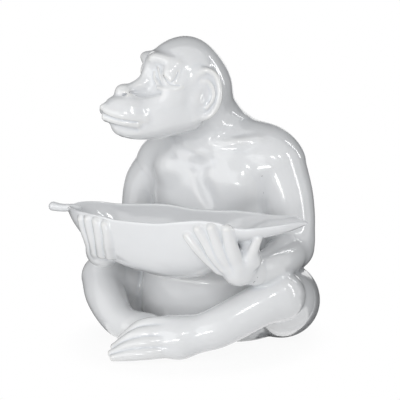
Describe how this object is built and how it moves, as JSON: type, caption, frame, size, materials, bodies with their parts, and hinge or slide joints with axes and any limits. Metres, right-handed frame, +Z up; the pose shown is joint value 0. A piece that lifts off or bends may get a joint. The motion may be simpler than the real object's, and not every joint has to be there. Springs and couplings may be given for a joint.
{
  "type": "animal figurine",
  "caption": "White glazed figurine of a seated ape that looks over its shoulder and holds a long leaf-shaped dish across its lap, standing on a flat base.",
  "frame": {"origin": "on the floor, under the middle of the torso, at the middle of the flat base face", "axes": "the figure faces -Y, its left side is +X and +Z points up from the face it stands on"},
  "size_m": [0.3465, 0.2817, 0.373],
  "materials": {
    "glaze": "high gloss"
  },
  "bodies": {
    "root": {"torso": "glaze", "neck": "glaze", "head": "glaze", "leaf_dish": "glaze", "leaf_stalk": "glaze", "left_ear": "glaze", "right_ear": "glaze", "left_upper_arm": "glaze", "right_upper_arm": "glaze", "left_forearm": "glaze", "right_forearm": "glaze", "left_hand": "glaze", "right_hand": "glaze", "left_thigh": "glaze", "right_thigh": "glaze", "left_shin": "glaze", "right_shin": "glaze", "left_foot": "glaze", "right_foot": "glaze"}
  },
  "joints": []
}
